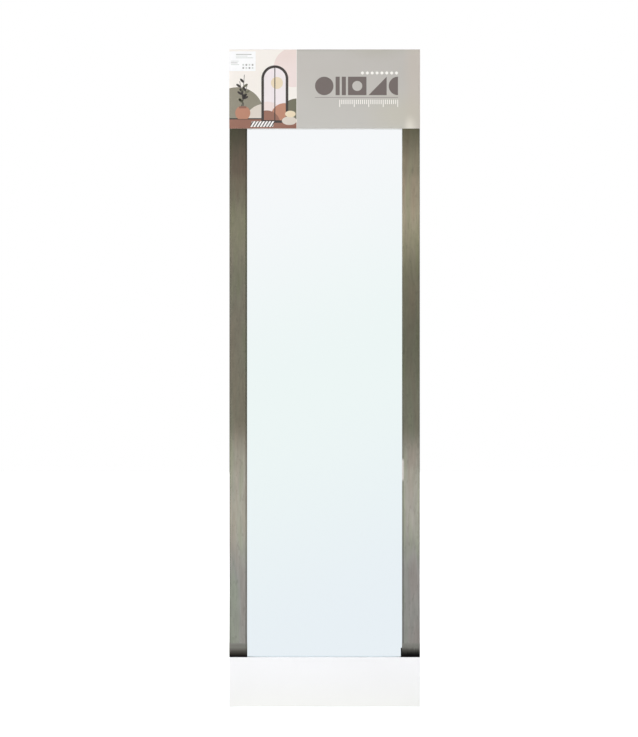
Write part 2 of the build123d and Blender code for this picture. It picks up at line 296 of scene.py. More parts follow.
def foilMaterial(name, side):
    # hot-stamped foil on foamed polystyrene: satin, brushed along its length; raw foam shows at the back;
    # its tone holds painted reflections and painted shade
    material, tree, shader = newMaterial(name, {"IOR": 1.5, "Specular IOR Level": 0.3})
    place = addNode(tree, "TexCoord").outputs["Object"]
    parts = addNode(tree, "SeparateXYZ", {0: place}).outputs
    lengthwise, crosswise, middle, half = "Z", "X", 0.0, frameHi.x
    if side == "rail":
        lengthwise, crosswise = "X", "Z"
        middle, half = (frameLo.z + frameHi.z) / 2, (frameHi.z - frameLo.z) / 2
    height = addNode(tree, "MapRange", {"Value": parts["Z"], "From Min": frameHi.z, "From Max": frameLo.z})
    # the tone ramp paints reflections and shade along the length
    tone = addNode(tree, "ValToRGB", {0: height.outputs[0]})
    setRamp(tone, foil[side], "EASE")
    noise = {}
    for kind, (wide, long, detail) in foil["marks"].items():
        scale = [1000 / wide] * 3
        scale["XYZ".index(lengthwise)] = 1000 / long
        stretched = addNode(tree, "Mapping", {"Vector": place, "Scale": scale})
        noise[kind] = addNode(tree, "TexNoise", {
            "Vector": stretched.outputs[0], "Scale": 1.0, "Detail": detail,
            "Roughness": foil["markRoughness"]}).outputs[0]
    cast = addNode(tree, "ValToRGB", {0: noise["drift"]})
    setRamp(cast, foil["cast"])
    tinted = addNode(tree, "Mix", {0: 1.0, 6: tone.outputs[0], 7: cast.outputs[0]}, data_type="RGBA",
                     blend_type="MULTIPLY")
    # across the face: painted shade on the outer edge and painted light and shade on the bevel by the
    # glass
    offset = addNode(tree, "Math", {0: parts[crosswise], 1: middle}, operation="SUBTRACT")
    across = addNode(tree, "Math", {0: offset.outputs[0]}, operation="ABSOLUTE").outputs[0]
    (bevelTop, bevelFoot), (turnFrom, turnTo) = foil["bevelLightAndShade"][side], foil["bevelTurn"]
    bevelLightAndShade = addNode(tree, "MapRange", {
        "Value": height.outputs[0], "From Min": turnFrom, "From Max": turnTo, "To Min": bevelTop,
        "To Max": bevelFoot}).outputs[0]
    shades = [(noise[kind], *levels) for kind, levels in foil["tones"].items()]
    for (begin, full), bandTone in ((foil["edge"], foil["edgeShadeTone"][side]), (foil["bevel"], bevelLightAndShade)):
        shades.append((across, half - begin, half - full, 1.0, bandTone, "SMOOTHSTEP"))
    level = 1.0
    for value, begin, full, low, high, change in shades:
        shade = addNode(tree, "MapRange", {"Value": value, "From Min": begin, "From Max": full,
                                           "To Min": low, "To Max": high}, interpolation_type=change)
        level = addNode(tree, "Math", {0: level, 1: shade.outputs[0]}, operation="MULTIPLY").outputs[0]
    foiled = addNode(tree, "VectorMath", {0: tinted.outputs[2], "Scale": level}, operation="SCALE")
    foiled = foiled.outputs[0]
    # a painted glint on the right lip's bevel
    if side == "right":
        glint = foil["glint"]
        fromGlint = addNode(tree, "Math", {0: parts["Z"], 1: glint["z"]}, operation="SUBTRACT")
        fromGlint = addNode(tree, "Math", {0: fromGlint.outputs[0]}, operation="ABSOLUTE")
        glintMask = 1.0
        for value, (begin, full) in ((fromGlint.outputs[0], glint["ends"]),
                                     (across, [lipX + over for over in glint["wide"]])):
            faded = addNode(tree, "MapRange", {"Value": value, "From Min": begin, "From Max": full},
                            interpolation_type="SMOOTHSTEP")
            glintMask = addNode(tree, "Math", {0: glintMask, 1: faded.outputs[0]},
                             operation="MULTIPLY").outputs[0]
        foiled = addNode(tree, "Mix", {0: glintMask, 6: foiled, 7: glint["tone"]}, data_type="RGBA").outputs[2]
    # raw foam: the back with its grooves, and the rebate that holds the glass
    rebateY, rebateInset = foil["rebate"]
    raw = 0.0
    for behind, inset in ((frameHi.y - foil["coreDepth"], foil["coreInset"]), (rebateY, rebateInset)):
        deep = addNode(tree, "Math", {0: parts["Y"], 1: behind}, operation="GREATER_THAN")
        inboard = addNode(tree, "Math", {0: across, 1: half - inset}, operation="LESS_THAN")
        bare = addNode(tree, "Math", {0: deep.outputs[0], 1: inboard.outputs[0]}, operation="MULTIPLY")
        raw = addNode(tree, "Math", {0: raw, 1: bare.outputs[0]}, operation="MAXIMUM").outputs[0]
    pores = addNode(tree, "TexNoise", {"Vector": place, "Scale": foil["pores"], "Detail": 4.0}).outputs[0]
    core = addNode(tree, "ValToRGB", {0: pores})
    setRamp(core, [(0.3, foil["core"][0]), (0.7, foil["core"][1])])
    colour = addNode(tree, "Mix", {0: raw, 6: foiled, 7: core.outputs[0]}, data_type="RGBA")
    smooth, dull = foil["roughness"]
    rough = addNode(tree, "MapRange", {"Value": noise["fleck"], "To Min": smooth, "To Max": dull})
    rough = addNode(tree, "Mix", {0: raw, 2: rough.outputs[0], 3: foil["coreRoughness"]},
                    data_type="FLOAT")
    metal = addNode(tree, "Mix", {0: raw, 2: foil["metallic"], 3: 0.0}, data_type="FLOAT")
    strength, depth = foil["relief"]
    bump = addNode(tree, "Bump", {"Strength": strength, "Distance": depth, "Height": noise["hair"]})
    feed(shader, {"Base Color": colour.outputs[2], "Roughness": rough.outputs[0],
                  "Metallic": metal.outputs[0], "Normal": bump.outputs[0]})
    return material


dress("left_stile", foilMaterial("brushedFoilLeft", "left"))
dress("right_stile", foilMaterial("brushedFoilRight", "right"))
railFoil = foilMaterial("brushedFoilRails", "rail")
dress("top_rail", railFoil)
dress("bottom_rail", railFoil)
print("frame foiled")


# End tapes: grey that darkens to black at the card

tape = {
    # tone on each tape, darkening to black towards the foot card: m above the card, colour
    "left": [(0.0022, "#050505"), (0.0062, "#322F2A"), (0.0115, "#524F49"), (0.0185, "#7E7D76"),
             (0.0235, "#7E7D76"), (0.0270, "#8B8A84")],
    "right": [(0.0045, "#020202"), (0.0088, "#2A2926"), (0.0140, "#52514C"), (0.0185, "#7C7B75"),
              (0.0235, "#83827C"), (0.0270, "#8B8A84")],
    "uneven": {"left": 0.0006, "right": 0.0045},    # m, how far the black's edge wanders
    "comb": (430, 430, 50),     # teeth of that edge to a metre, each way
    "reach": 0.03,              # m of print above the card
    "dullness": 0.06,
    # black tongue of the right tape: x over the glass and at the lip, m above and behind the card's edge,
    # m off the glass, and how far it climbs the lip in x and y
    "tongueX": (0.1474, 0.1502),
    "tongueUp": 0.0172,
    "tongueDown": 0.012,
    "tongueOff": 0.00012,
    "tongueClimb": (-0.00032, -0.0032),
    "film": 0.0001,
}
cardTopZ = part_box("foot_card")[1].z
for side in ("left", "right"):
    # dull film, grey darkening to black towards the card, dull so that the black stays deep
    tapeMaterial, tree, shader = newMaterial("tapeDarkeningToCard" + side.title(), {
        "Roughness": 0.62, "IOR": 1.5, "Specular IOR Level": tape["dullness"]})
    uneven = tape["uneven"][side]
    place = addNode(tree, "TexCoord").outputs["Object"]
    comb = addNode(tree, "Mapping", {"Vector": place, "Scale": tape["comb"]})
    teeth = addNode(tree, "TexNoise", {"Vector": comb.outputs[0], "Scale": 1.0, "Detail": 2.0})
    wander = addNode(tree, "MapRange", {"Value": teeth.outputs[0], "To Min": -uneven, "To Max": uneven})
    parts = addNode(tree, "SeparateXYZ", {0: place})
    height = addNode(tree, "Math", {0: parts.outputs["Z"], 1: wander.outputs[0]}, operation="ADD")
    share = addNode(tree, "MapRange", {"Value": height.outputs[0], "From Min": cardTopZ,
                                       "From Max": cardTopZ + tape["reach"]})
    ramp = addNode(tree, "ValToRGB", {0: share.outputs[0]})
    setRamp(ramp, [(up / tape["reach"], colour) for up, colour in tape[side]])
    feed(shader, {"Base Color": ramp.outputs[0]})
    dress(side + "_end_tape", tapeMaterial)

# a short black tongue at the foot of the right tape, over the lip and on to the glass
innerX, outerX = tape["tongueX"]
up, down = tape["tongueUp"], tape["tongueDown"]
bm = bmesh.new()
bmesh.ops.create_grid(bm, x_segments=1, y_segments=6, size=0.5)
bmesh.ops.scale(bm, vec=(outerX - innerX, up + down, 1), verts=bm.verts)
rotateVerts(bm, bm.verts, 90, "X")
bmesh.ops.translate(bm, vec=((innerX + outerX) / 2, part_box("mirror_glass")[0].y - tape["tongueOff"],
                             cardTopZ + (up - down) / 2), verts=bm.verts)
lip = [e for e in bm.edges if all(v.co.x > outerX - 1e-5 for v in e.verts)]
climbed = bmesh.ops.extrude_edge_only(bm, edges=lip)["geom"]
bmesh.ops.translate(bm, vec=(*tape["tongueClimb"], 0), verts=only(BMVert, climbed))
bmesh.ops.recalc_face_normals(bm, faces=bm.faces)
if next(f for f in bm.faces if abs(f.normal.y) > 0.9).normal.y > 0:
    bmesh.ops.reverse_faces(bm, faces=bm.faces)
# solid black, dull and faintly uneven
blackTape, tree, shader = newMaterial("blackPvcTape", {
    "Roughness": 0.6, "IOR": 1.5, "Specular IOR Level": tape["dullness"]})
place = addNode(tree, "TexCoord").outputs["Object"]
grain = addNode(tree, "TexNoise", {"Vector": place, "Scale": 800.0, "Detail": 3.0})
ramp = addNode(tree, "ValToRGB", {0: grain.outputs[0]})
setRamp(ramp, [(0.3, "#020202"), (0.7, "#090909")])
feed(shader, {"Base Color": ramp.outputs[0]})
tongue = newPiece("rightTapeTongue", bm, [blackTape], "mirror")
addFilm(tongue, "filmThickness", tape["film"], 1)
print("tapes laid")


# Mirror pack: glass, back paint, liner and board

glass = {
    "tone": [(0.05, "#E8F0F5"), (0.5, "#EDF6F5"), (0.9, "#F6F8FA")],    # painted reflection, darker and cooler towards the foot: from the foot up
    "slant": 0.4,               # how far the tones lean to the right
    "roughness": (0.01, 0.03),
}
# float glass silvered on its back: a clean reflection with a faint cool cast, and a painted reflection
# that darkens towards the foot
mirrorMaterial, tree, shader = newMaterial("silveredFloatGlass", {"Metallic": 1.0})
place = addNode(tree, "TexCoord").outputs["Object"]
glassLo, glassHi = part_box("mirror_glass")
slanted = addNode(tree, "VectorMath", {0: place, 1: (-glass["slant"], 0, 1)}, operation="DOT_PRODUCT")
height = addNode(tree, "MapRange", {"Value": slanted.outputs["Value"], "From Min": glassLo.z,
                                    "From Max": glassHi.z})
ramp = addNode(tree, "ValToRGB", {0: height.outputs[0]})
setRamp(ramp, glass["tone"], "EASE")
haze = addNode(tree, "TexNoise", {"Vector": place, "Scale": 11.0, "Detail": 4.0})
clear, hazy = glass["roughness"]
polish = addNode(tree, "MapRange", {"Value": haze.outputs[0], "From Min": 0.3, "From Max": 0.7,
                                    "To Min": clear, "To Max": hazy})
feed(shader, {"Base Color": ramp.outputs[0], "Roughness": polish.outputs[0]})
dress("mirror_glass", mirrorMaterial)

# grey alkyd paint over the silver, flat
dress("silver_backing", newMaterial("mirrorBackPaint", {"Roughness": 0.55, "Base Color": "#7C8288"})[0])

# closed-cell sheet: matt, with fine white cells
linerMaterial, tree, shader = newMaterial("polyethyleneFoam", {"Roughness": 0.8})
place = addNode(tree, "TexCoord").outputs["Object"]
cells = addNode(tree, "TexVoronoi", {"Vector": place, "Scale": 700.0})
ramp = addNode(tree, "ValToRGB", {0: cells.outputs["Distance"]})
setRamp(ramp, [(0.0, "#E2E4E6"), (0.7, "#F6F7F8")])
feed(shader, {"Base Color": ramp.outputs[0]})
dress("foam_liner", linerMaterial)

board = {
    "tone": [(0.36, "#6B4C32"), (0.46, "#83603F"), (0.60, "#9A7550")],  # specks, dark and light fibre
    "fibre": 1.8,           # mm wide, coarser than the real fibre so that it shows
    "fibresUp": 260,        # to a metre along the sheet
    "fibreShare": 0.88,     # against the slow clouds
    "relief": 0.00015,
}
# smooth side of hardboard: pressed brown fibre with a low sheen
boardMaterial, tree, shader = newMaterial("pressedFibreboard", {"Roughness": 0.62, "IOR": 1.48})
place = addNode(tree, "TexCoord").outputs["Object"]
cloud = addNode(tree, "TexNoise", {"Vector": place, "Scale": 14.0, "Detail": 3.0, "Roughness": 0.5})
finely = 1000 / board["fibre"]
fibrePlace = addNode(tree, "Mapping", {"Vector": place, "Scale": (finely, finely, board["fibresUp"])})
fibre = addNode(tree, "TexNoise", {"Vector": fibrePlace.outputs[0], "Scale": 1.0, "Detail": 6.0,
                                   "Roughness": 0.75}).outputs["Fac"]
blend = addNode(tree, "Mix", {0: board["fibreShare"], 2: cloud.outputs["Fac"], 3: fibre},
                data_type="FLOAT")
ramp = addNode(tree, "ValToRGB", {0: blend.outputs[0]})
setRamp(ramp, board["tone"])
bump = addNode(tree, "Bump", {"Strength": 0.3, "Distance": board["relief"], "Height": fibre})
feed(shader, {"Base Color": ramp.outputs[0], "Normal": bump.outputs[0]})
dress("back_board", boardMaterial)
print("mirror pack dressed")


# Steel: points, nails, straps, rings and screws

plate = {
    "cloud": 160.0,         # clouds to a metre
    "cloudTone": 0.82,      # how dark they are
    "scratch": 2600,        # scratches to a metre across
    "roughness": (-0.08, 0.12),
    "relief": 0.00003,
}


def plateMaterial(name, colour, roughness, scratchLong):
    # plated steel, faintly clouded, with short scratches along Z, their length in mm
    material, tree, shader = newMaterial(name, {"Metallic": 1.0})
    place = addNode(tree, "TexCoord").outputs["Object"]
    cloud = addNode(tree, "TexNoise", {"Vector": place, "Scale": plate["cloud"], "Detail": 3.0})
    scratchPlace = addNode(tree, "Mapping", {
        "Vector": place, "Scale": (plate["scratch"], plate["scratch"], 1000 / scratchLong)})
    scratch = addNode(tree, "TexNoise", {"Vector": scratchPlace.outputs[0], "Scale": 1.0,
                                         "Detail": 2.0}).outputs["Fac"]
    ramp = addNode(tree, "ValToRGB", {0: cloud.outputs["Fac"]})
    base = hexColour(colour)
    setRamp(ramp, [(0.3, [c * plate["cloudTone"] for c in base[:3]] + [1]), (0.7, base)])
    smoother, rougher = plate["roughness"]
    rough = addNode(tree, "MapRange", {"Value": scratch, "To Min": roughness + smoother,
                                       "To Max": roughness + rougher})
    bump = addNode(tree, "Bump", {"Strength": 0.2, "Distance": plate["relief"], "Height": scratch})
    feed(shader, {"Base Color": ramp.outputs[0], "Roughness": rough.outputs[0], "Normal": bump.outputs[0]})
    return material


zincSteel = plateMaterial("zincPlatedSteel", "#B9BCC0", 0.36, 6)
nickelSteel = plateMaterial("nickelPlatedSteel", "#CFCBC2", 0.26, 9)
brightSteel = plateMaterial("brightStripSteel", "#B5B5B8", 0.32, 4)
for name in nodes:
    if "points" in name or "screws" in name:
        dress(name, zincSteel)
    elif "nails" in name:
        dress(name, brightSteel)
    elif "strap" in name:
        dress(name, nickelSteel)

# D rings: round nickelled wire, bent from the middle of the bar round to the bar again
ring = {
    "wire": 0.0012, "bar": 0.0087, "corner": 0.0022, "reach": 0.0142,   # m, to the wire's middle
    "tilt": 5.0,            # degrees at rest
    "sides": 20,
    "cornerSteps": 8, "bowSteps": 28,
}


def ringWire(name, body, node):
    joint = next(j for j in frame["joints"] if j["child"] == body)
    bar, corner, reach = ring["bar"], ring["corner"], ring["reach"]
    bm = bmesh.new()
    bmesh.ops.create_circle(bm, segments=ring["sides"], radius=ring["wire"])
    rotateVerts(bm, bm.verts, 90, "Y")
    edges = list(bm.edges)

    def run(dx, dz):
        grown = bmesh.ops.extrude_edge_only(bm, edges=edges)["geom"]
        bmesh.ops.translate(bm, vec=(dx, 0, dz), verts=only(BMVert, grown))
        return only(BMEdge, grown)

    def bend(cx, cz, degrees, steps):
        grown = bmesh.ops.spin(bm, geom=edges, cent=(cx, 0, cz), axis=(0, 1, 0),
                               angle=math.radians(degrees), steps=steps)
        return only(BMEdge, grown["geom_last"])

    edges = run(bar - corner, 0)
    edges = bend(bar - corner, -corner, 90, ring["cornerSteps"])
    edges = run(0, bar - reach + corner)
    edges = bend(0, bar - reach, 180, ring["bowSteps"])
    edges = run(0, reach - bar - corner)
    edges = bend(corner - bar, -corner, 90, ring["cornerSteps"])
    edges = run(bar - corner, 0)
    bmesh.ops.remove_doubles(bm, verts=bm.verts, dist=0.00002)
    rotateVerts(bm, bm.verts, ring["tilt"], "X")
    bmesh.ops.translate(bm, vec=joint["pos_m"], verts=bm.verts)
    bmesh.ops.recalc_face_normals(bm, faces=bm.faces)
    for face in bm.faces:
        face.smooth = True
    return newPiece(name, bm, [nickelSteel], body, (node,))


ringWire("leftRingWire", "left_ring", "left_hanger_ring")
ringWire("rightRingWire", "right_ring", "right_hanger_ring")

# bumpers: soft clear-grey rubber, slightly tacky, so dull with a broad sheen
bumperMaterial = newMaterial("softGreyRubber", {
    "Roughness": 0.48, "IOR": 1.5, "Base Color": "#C3C6C8", "Subsurface Weight": 0.25,
    "Subsurface Radius": (0.002, 0.002, 0.002)})[0]
dress("left_bumper", bumperMaterial)
dress("right_bumper", bumperMaterial)
print("hangers and bumpers dressed")


# Shop cards

headerLo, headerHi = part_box("header_card")
footLo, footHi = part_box("foot_card")
card = {
    "thickness": 0.0006,
    "fold": 0.0008,         # m, middle radius of the fold
    "foldSteps": 5,
    "panelGrid": (64, 28),
    "splitX": -0.0537,      # where the picture ends and the plain panel starts
    "bow": 0.00030,         # m, how far the panel stands off the frame in the middle
    "cornerLift": 0.00055,  # m, how far the lower right corner curls forward
    "cornerReach": 0.05,
    "ink": 0.00002,         # m between layers of print
    "inkFilm": 0.8,         # share of that which the ink fills
    "inkPitch": 0.008,      # m between the cuts that let the print follow the board
    "paintedGlow": 0.35,        # painted glow on the unprinted side, standing in for light soaking through the board
    "glow": 0.035,          # a fainter painted glow on the thin white board's front
    # slow changes of tone: axis, where one starts and is full, share, tone
    "greyBands": [
        ("Z", headerHi.z - 0.04, headerLo.z, 0.8, "#C6C4BE"),           # paler towards the foot
        ("Z", headerHi.z - 0.005, headerHi.z - 0.003, 0.6, "#B5B2AC"),  # painted shade along the fold
        ("X", 0.150, 0.168, 0.6, "#C6BCB1"),                            # warmer at the right side
    ],
    "whiteBands": [("Z", -0.915, footLo.z, 1.0, "#F7F7F4")],            # faintly warm towards the foot
    # soft patches: x and height over the lower edge, half width and half height in m, share, tone
    "greyPatches": [
        (0.145, 0.027, 0.090, 0.060, 0.50, "#C5C0AE"),  # an olive cast at the lower right
        (0.100, 0.152, 0.080, 0.028, 0.75, "#B8B4AA"),  # painted shade, a darker run along the fold
        (0.165, 0.000, 0.016, 0.032, 0.70, "#EBE6D9"),  # a painted glare at the lower right corner
    ],
}


def headerRelief(x, z):
    # forward movement of the header's front panel at a point, in metres
    across = math.cos(math.pi * x / (headerHi.x - headerLo.x))
    down = max(0.0, min(1.0, (headerHi.z - z) / (headerHi.z - headerLo.z)))
    dx = max(0.0, 1 - (headerHi.x - x) / card["cornerReach"])
    dz = max(0.0, 1 - (z - headerLo.z) / card["cornerReach"])
    bow = card["bow"] * across * math.sin(down * math.pi / 2)
    return bow + card["cornerLift"] * (dx * dx * (3 - 2 * dx)) * dz * dz


def footRelief(x, z):
    across = math.cos(math.pi * x / (footHi.x - footLo.x))
    up = max(0.0, min(1.0, (z - footLo.z) / (footHi.z - footLo.z)))
    return card["bow"] * across * math.sin(up * math.pi / 2)


def paperMaterial(name, colour, drift, roughness, tooth, paintedGlow=0.0, bands=(), patches=()):
    # coated paperboard: flat ink or clay coat, satin, with a faint tooth; a painted glow lights the board
    # a little
    material, tree, shader = newMaterial(name, {
        "IOR": 1.48, "Roughness": roughness, "Emission Color": colour, "Emission Strength": paintedGlow})
    place = addNode(tree, "TexCoord").outputs["Object"]
    parts = addNode(tree, "SeparateXYZ", {0: place}).outputs
    cloud = addNode(tree, "TexNoise", {"Vector": place, "Scale": 9.0, "Detail": 2.0})
    ramp = addNode(tree, "ValToRGB", {0: cloud.outputs["Fac"]})
    setRamp(ramp, [(0.3, drift), (0.7, colour)])
    tone = ramp.outputs[0]
    for axis, start, full, share, tint in bands:
        band = addNode(tree, "MapRange", {"Value": parts[axis], "From Min": start, "From Max": full,
                                          "To Max": share})
        tone = addNode(tree, "Mix", {0: band.outputs[0], 6: tone, 7: tint}, data_type="RGBA").outputs[2]
    for x, up, wide, high, share, tint in patches:
        middle = (-x / wide, -headerLo.y / wide, -(headerLo.z + up) / high)
        reach = addNode(tree, "Mapping", {"Vector": place, "Location": middle,
                                          "Scale": (1 / wide, 1 / wide, 1 / high)})
        distance = addNode(tree, "VectorMath", {0: reach.outputs[0]}, operation="LENGTH").outputs["Value"]
        patch = addNode(tree, "MapRange", {"Value": distance, "From Min": 1.0, "From Max": 0.0,
                                           "To Max": share}, interpolation_type="SMOOTHSTEP")
        tone = addNode(tree, "Mix", {0: patch.outputs[0], 6: tone, 7: tint}, data_type="RGBA").outputs[2]
    fibre = addNode(tree, "TexNoise", {"Vector": place, "Scale": 1400.0, "Detail": 3.0})
    bump = addNode(tree, "Bump", {"Strength": tooth, "Distance": 0.00002, "Height": fibre.outputs["Fac"]})
    feed(shader, {"Base Color": tone, "Normal": bump.outputs[0]})
    return material


greyPrint = paperMaterial("greySatinPrint", "#C1BDB7", "#BEBAB3", 0.4, 0.15, 0.0, card["greyBands"],
                          card["greyPatches"])
creamPrint = paperMaterial("creamPictureGround", "#F6F1EA", "#F3ECE4", 0.38, 0.15)
rawBoard = paperMaterial("whiteBackedBoard", "#F6F5F2", "#F2F1EC", 0.8, 0.4, card["paintedGlow"])
whiteBoard = paperMaterial("whiteClayCoatedBoard", "#FEFEFF", "#FCFCFD", 0.5, 0.2, card["glow"],
                           card["whiteBands"])
whiteReverse = paperMaterial("whiteBoardReverse", "#FAF9F8", "#F6F5F3", 0.8, 0.4, card["paintedGlow"])


def foldedSheet(name, node, body, foldAtTop, relief, materials, split=None):
    # a front panel, a fold, a strip across the frame, a fold and a back panel, grown edge by edge
    lo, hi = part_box(node)
    half, fold = card["thickness"] / 2, card["fold"]
    frontPlane, backPlane = lo.y + half, hi.y - half
    foldZ = hi.z - half if foldAtTop else lo.z + half
    freeZ = lo.z if foldAtTop else hi.z
    up = 1 if foldAtTop else -1
    rise = abs(foldZ - freeZ) - fold
    top = foldZ - up * fold
    across, along = card["panelGrid"]
    bm = bmesh.new()
    bmesh.ops.create_grid(bm, x_segments=across, y_segments=along, size=0.5)
    bmesh.ops.scale(bm, vec=(hi.x - lo.x, rise, 1), verts=bm.verts)
    rotateVerts(bm, bm.verts, 90, "X")
    bmesh.ops.translate(bm, vec=((hi.x + lo.x) / 2, frontPlane, freeZ + up * rise / 2), verts=bm.verts)

    def bend(middleY):
        grown = bmesh.ops.spin(bm, geom=edges, cent=(0, middleY, top), axis=(1, 0, 0),
                               angle=math.radians(-90 * up), steps=card["foldSteps"])
        return only(BMEdge, grown["geom_last"])

    def run(dy, dz):
        grown = bmesh.ops.extrude_edge_only(bm, edges=edges)["geom"]
        bmesh.ops.translate(bm, vec=(0, dy, dz), verts=only(BMVert, grown))
        return only(BMEdge, grown)

    edges = [e for e in bm.edges if all(abs(v.co.z - top) < 1e-6 for v in e.verts)]
    edges = bend(frontPlane + fold)
    edges = run(backPlane - frontPlane - 2 * fold, 0)
    edges = bend(backPlane - fold)
    for step in range(4):
        edges = run(0, -up * rise / 4)
    if split is not None:
        bmesh.ops.bisect_plane(bm, geom=bm.verts[:] + bm.edges[:] + bm.faces[:], plane_co=(split, 0, 0),
                               plane_no=(1, 0, 0))
    bmesh.ops.recalc_face_normals(bm, faces=bm.faces)
    outward = next(f for f in bm.faces if f.calc_center_median().y < frontPlane + 1e-5)
    if outward.normal.y > 0:
        bmesh.ops.reverse_faces(bm, faces=bm.faces)
    for face in bm.faces:
        middle = face.calc_center_median()
        face.smooth = True
        onPicture = split is not None and middle.x < split and middle.y < frontPlane + mm
        face.material_index = 1 if onPicture else 0
    for vert in bm.verts:
        if vert.co.y < frontPlane + 1e-5:
            vert.co.y -= relief(vert.co.x, vert.co.z)
    piece = newPiece(name, bm, materials, body, (node,))
    wall = addFilm(piece, "boardThickness", card["thickness"], 0)
    wall.material_offset = len(materials) // 2
    wall.material_offset_rim = len(materials) // 2
    even = piece.modifiers.new("evenShading", "WEIGHTED_NORMAL")    # keeps the panels flat to their edges
    even.mode = "FACE_AREA"


foldedSheet("headerCardBoard", "header_card", "header", True, headerRelief,
            [greyPrint, creamPrint, rawBoard, rawBoard], card["splitX"])
foldedSheet("footCardBoard", "foot_card", "foot", False, footRelief,
            [whiteBoard, whiteReverse])
print("cards folded")


# Print on the header card: figures drawn flat in mm, laid on in thin layers that follow the board

def inkMaterial(name, colour, drift=None, roughness=0.4):
    # offset ink under a satin varnish, slightly uneven
    return paperMaterial(name, colour, drift or colour, roughness, 0.12)


def newSheet(x=0.0, z=0.0):
    # a flat drawing, measured from this point of the part
    return {"bm": bmesh.new(), "x": x, "z": z}


def finishFigure(sheet, made, x, z, turn, layer, ink, cuts):
    # puts a figure in its place, trims it and gives it its layer and ink
    # each cut is a point and a direction on the sheet: what lies past it goes
    bm = sheet["bm"]
    others = set(bm.verts) - set(made)
    rotateVerts(bm, made, turn, "Z")
    bmesh.ops.translate(bm, vec=(sheet["x"] + x * mm, sheet["z"] + z * mm, 0), verts=made)
    for (cutX, cutZ), (nx, nz) in cuts:
        geom = [v for v in bm.verts if v not in others]
        geom += [e for e in bm.edges if e.verts[0] not in others]
        geom += [f for f in bm.faces if f.verts[0] not in others]
        point = (sheet["x"] + cutX * mm, sheet["z"] + cutZ * mm, 0)
        bmesh.ops.bisect_plane(bm, geom=geom, plane_co=point, plane_no=(nx, nz, 0), clear_outer=True)
    kept = [v for v in bm.verts if v not in others]
    bmesh.ops.translate(bm, vec=(0, 0, card["ink"] * layer), verts=kept)
    for face in bm.faces:
        if face.verts[0] not in others:
            face.material_index = ink


def disc(sheet, x, z, radius, layer, ink, cuts=(), sides=48, squash=1.0, turn=0.0):
    made = bmesh.ops.create_circle(sheet["bm"], cap_ends=True, segments=sides, radius=radius * mm)["verts"]
    bmesh.ops.scale(sheet["bm"], vec=(squash, 1, 1), verts=made)
    finishFigure(sheet, made, x, z, turn, layer, ink, cuts)


def block(sheet, x0, z0, x1, z1, layer, ink, cuts=(), turn=0.0):
    made = bmesh.ops.create_grid(sheet["bm"], x_segments=1, y_segments=1, size=0.5)["verts"]
    bmesh.ops.scale(sheet["bm"], vec=((x1 - x0) * mm, (z1 - z0) * mm, 1), verts=made)
    finishFigure(sheet, made, (x0 + x1) / 2, (z0 + z1) / 2, turn, layer, ink, cuts)


def layPrint(name, sheet, inks, replaced=()):
    # cuts the flat figures along a grid so that they follow the board, and stands them on it as a film
    bm, pitch = sheet["bm"], card["inkPitch"]
    for axis in (0, 1):
        places = [v.co[axis] for v in bm.verts]
        for step in range(math.ceil(min(places) / pitch), math.floor(max(places) / pitch) + 1):
            point, normal = [0, 0, 0], [0, 0, 0]
            point[axis], normal[axis] = step * pitch, 1
            bmesh.ops.bisect_plane(bm, geom=bm.verts[:] + bm.edges[:] + bm.faces[:], plane_co=point,
                                   plane_no=normal)
    # cuts that run along a figure's own edge leave slivers, and figures of one layer that touch are joined
    bmesh.ops.remove_doubles(bm, verts=bm.verts, dist=0.000002)
    bmesh.ops.dissolve_degenerate(bm, dist=0.000002, edges=bm.edges)
    for face in bm.faces:
        face.normal_update()
    bmesh.ops.reverse_faces(bm, faces=[f for f in bm.faces if f.normal.z < 0])
    rotateVerts(bm, bm.verts, 90, "X")
    for vert in bm.verts:
        vert.co.y += headerLo.y - headerRelief(vert.co.x, vert.co.z)
    piece = newPiece(name, bm, inks, "header", replaced)
    addFilm(piece, "filmThickness", card["ink"] * card["inkFilm"], -1)


# plain figures on the grey side, in mm
ornament = {
    "left": -18.6, "right": 141.8, "top": 227.7, "foot": 192.0,     # the dark row
    "gap": 4, "bars": 2, "barWide": 8, "hole": 0.27, "wedgeWide": 35,
    "rule": (187.6, 1.1),                                           # its middle and height
    "beads": {"count": 8, "x": 73.0, "pitch": 9.4, "z": 234.9, "radius": 2.9},
    "ticks": {"count": 29, "x": 28.4, "pitch": 4.0, "wide": 1.5, "top": 183.2, "long": 14.0, "short": 8.5,
              "longEach": 7},
}
darkInk = inkMaterial("darkUmberInk", "#6F6561", "#6A605C")
ruleInk = inkMaterial("greyRuleInk", "#8E8783")
paleInk = inkMaterial("paleInk", "#FBF8F2")

sheet = newSheet()
x, foot, top, gap = ornament["left"], ornament["foot"], ornament["top"], ornament["gap"]
high = top - foot
middle = foot + high / 2
disc(sheet, x + high / 2, middle, high / 2, 1, 0)
x += high + gap
for step in range(ornament["bars"]):
    block(sheet, x, foot, x + ornament["barWide"], top, 1, 0)
    x += ornament["barWide"] + gap
block(sheet, x, foot, x + high, top, 1, 0)
disc(sheet, x + high / 2, middle, high * ornament["hole"], 2, 3)
x += high + gap
wedge = ornament["wedgeWide"]
block(sheet, x, foot, x + wedge, top, 1, 0, cuts=[((x, foot), (-high, wedge))])
x += wedge + gap
disc(sheet, x + high / 2, middle, high / 2, 1, 0, cuts=[((x + high / 2, foot), (1, 0))])
ruleZ, ruleHigh = ornament["rule"]
block(sheet, ornament["left"], ruleZ - ruleHigh / 2, ornament["right"], ruleZ + ruleHigh / 2, 1, 1)
beads = ornament["beads"]
for step in range(beads["count"]):  # small pale beads above the dark row
    disc(sheet, beads["x"] + step * beads["pitch"], beads["z"], beads["radius"], 1, 2, sides=24)
ticks = ornament["ticks"]
